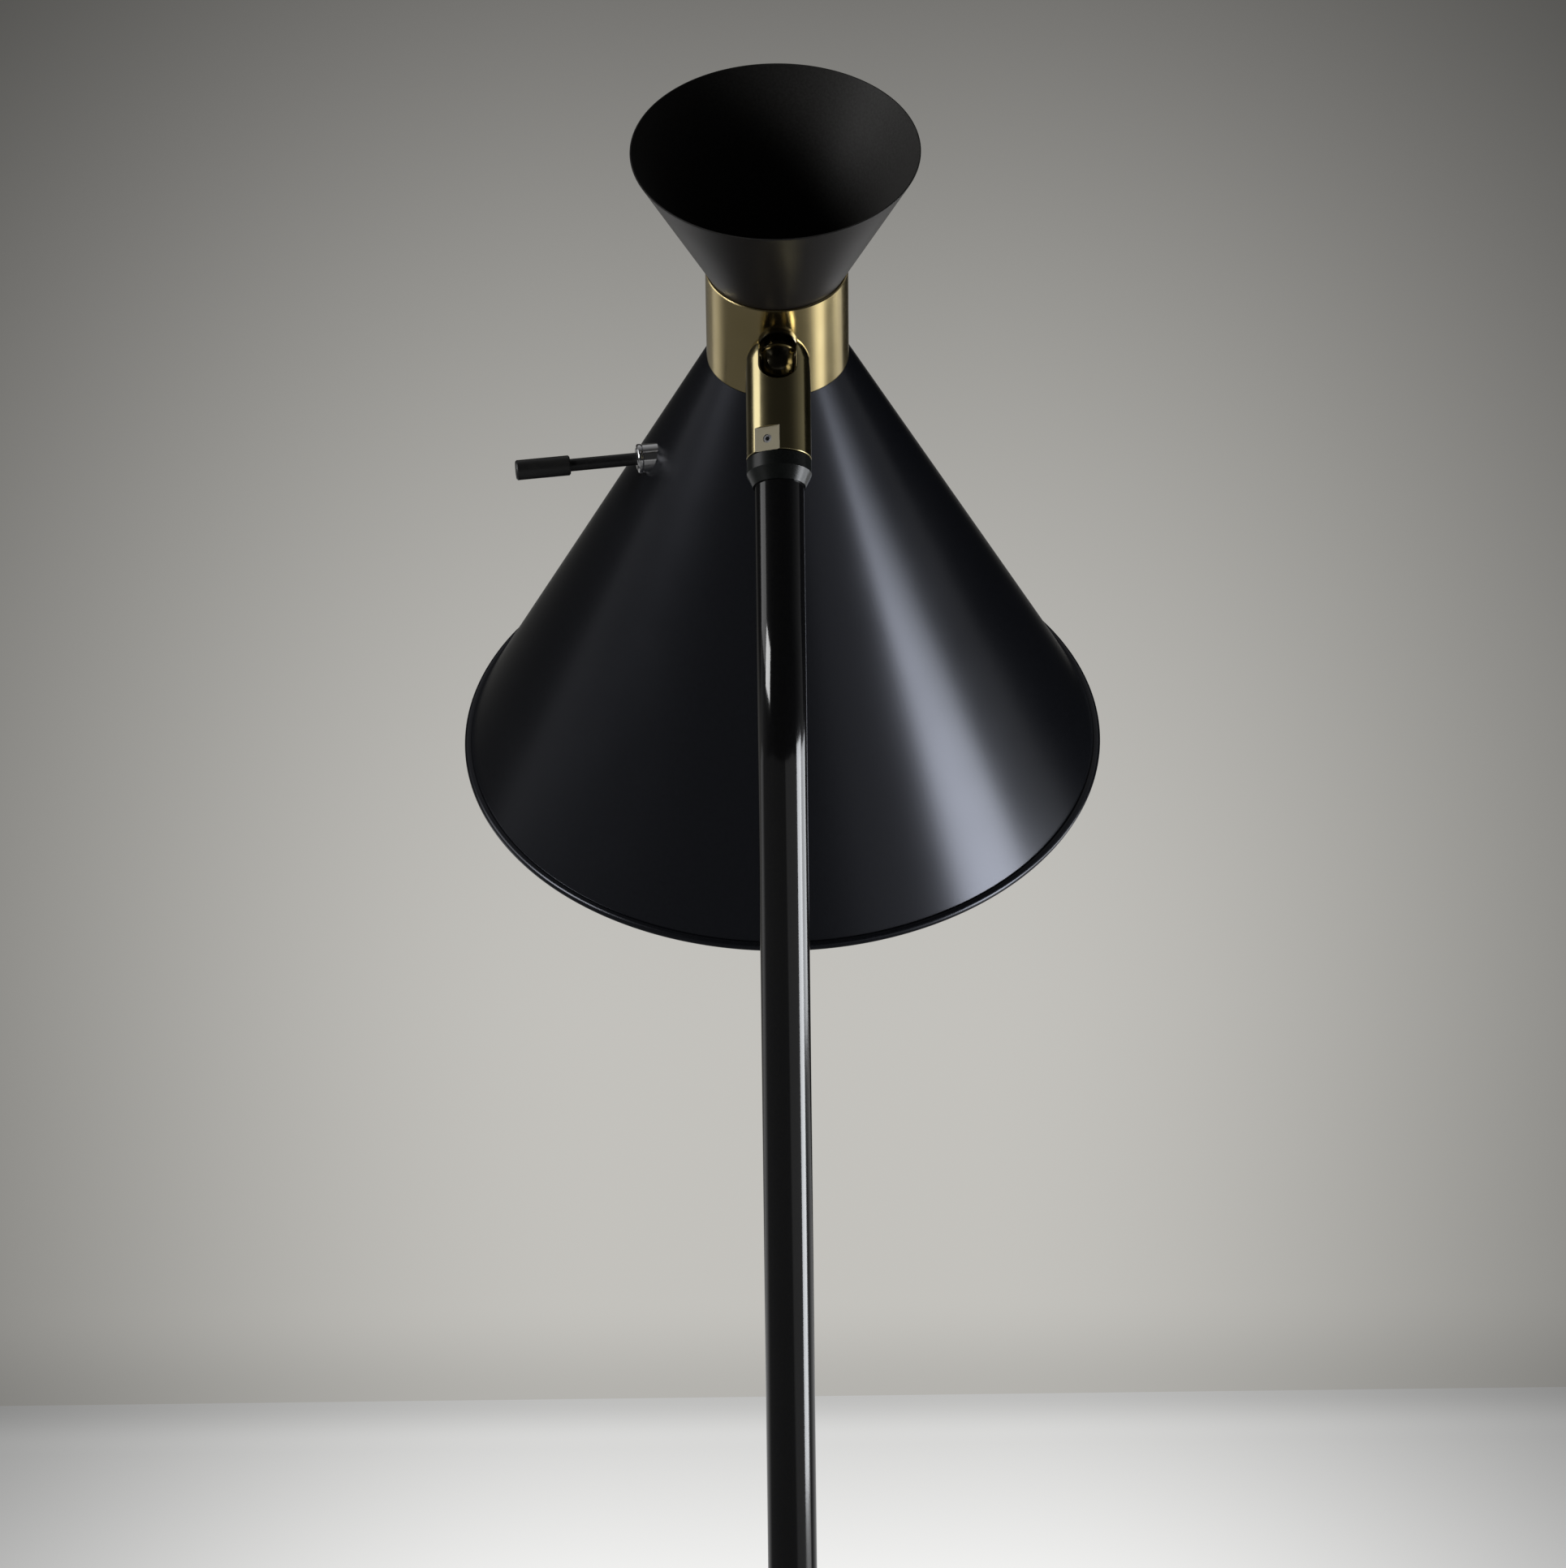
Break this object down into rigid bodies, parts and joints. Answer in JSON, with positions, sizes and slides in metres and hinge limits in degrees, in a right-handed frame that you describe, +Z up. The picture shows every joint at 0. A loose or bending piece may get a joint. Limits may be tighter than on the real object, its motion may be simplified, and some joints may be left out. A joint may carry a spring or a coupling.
{
  "type": "tripod floor lamp",
  "caption": "Floor lamp with splayed tube legs, a bent black pole, a slotted brass swivel and a black double-cone shade joined by a brass collar.",
  "frame": {"origin": "on the floor, under the middle of the lamp's box at rest", "axes": "+Z up; +Y is the way the shade leans and shines, so the pole stands on the -Y side; X is across, with the switch on the -X side"},
  "size_m": [0.4576, 0.5198, 1.5561],
  "materials": {
    "hub_black": "satin black powder coat",
    "leg_black": "gloss black lacquer",
    "pole_black": "gloss black lacquer",
    "ferrule_black": "satin black lacquer",
    "shade_black": "satin black outside, white inside",
    "top_cone_black": "satin black",
    "screw_black": "blackened",
    "rod_black": "black lacquer",
    "knob_black": "satin",
    "plastic_black": "fine moulded grain",
    "holder_plastic": "moulded phenolic",
    "lead_sheath": "smooth",
    "washer_fibre": "fibre",
    "collar_brass": "satin antique, lacquered",
    "sleeve_brass": "satin antique, lacquered",
    "ball_brass": "turned, darkened",
    "thread_brass": "pressed",
    "steel_zinc": "zinc plated",
    "steel_screw": "turned",
    "bulb_cap_metal": "pressed thread",
    "switch_chrome": "polished",
    "bulb_opal": "opal",
    "foot_rubber": "matt moulded"
  },
  "bodies": {
    "base": {"hub_body": "hub_black", "leg_screws": "screw_black", "hub_nipple": "steel_zinc", "hub_nut": "steel_zinc", "pole_foot": "steel_zinc", "cord_gland": "plastic_black", "pole_lower": "pole_black", "pole_coupler": "steel_zinc", "pole_upper": "pole_black", "pole_lead": "lead_sheath", "neck_ferrule": "ferrule_black", "leg_front": "leg_black", "foot_front": "foot_rubber", "leg_left": "leg_black", "foot_left": "foot_rubber", "leg_right": "leg_black", "foot_right": "foot_rubber"},
    "sleeve": {"swivel_sleeve": "sleeve_brass", "stop_screw": "steel_screw", "pivot_screw": "steel_screw", "pivot_nut": "steel_screw", "friction_washers": "washer_fibre"},
    "head": {"swivel_ball": "ball_brass", "stem_nut": "steel_zinc", "collar": "collar_brass", "collar_floor": "steel_zinc", "collar_bridge": "steel_zinc", "top_cone": "top_cone_black", "cone_screw": "screw_black", "shade": "shade_black", "holder_nipple": "steel_zinc", "holder_nut": "steel_zinc", "socket_cap": "holder_plastic", "socket_shell": "holder_plastic", "socket_thread": "thread_brass", "socket_contact": "thread_brass", "bulb_cap": "bulb_cap_metal", "bulb_glass": "bulb_opal", "switch_body": "plastic_black", "switch_bushing": "switch_chrome", "switch_seat": "switch_chrome", "switch_nut": "switch_chrome", "switch_leads": "lead_sheath", "head_lead": "lead_sheath"},
    "switch": {"switch_rod": "rod_black", "switch_knob": "knob_black"}
  },
  "joints": [
    {"name": "neck_swivel", "type": "hinge", "parent": "base", "child": "sleeve", "pos_m": [0, -0.04509, 1.425], "axis": [0, 0.5, 0.866], "range_deg": [-90, 90]},
    {"name": "shade_tilt", "type": "hinge", "parent": "sleeve", "child": "head", "pos_m": [0, -0.04509, 1.425], "axis": [1, 0, 0], "range_deg": [-18, 60]},
    {"name": "switch_turn", "type": "hinge", "parent": "head", "child": "switch", "pos_m": [0, 0.03969, 1.37631], "axis": [-0.9914, -0.1119, -0.0672], "continuous": true}
  ]
}
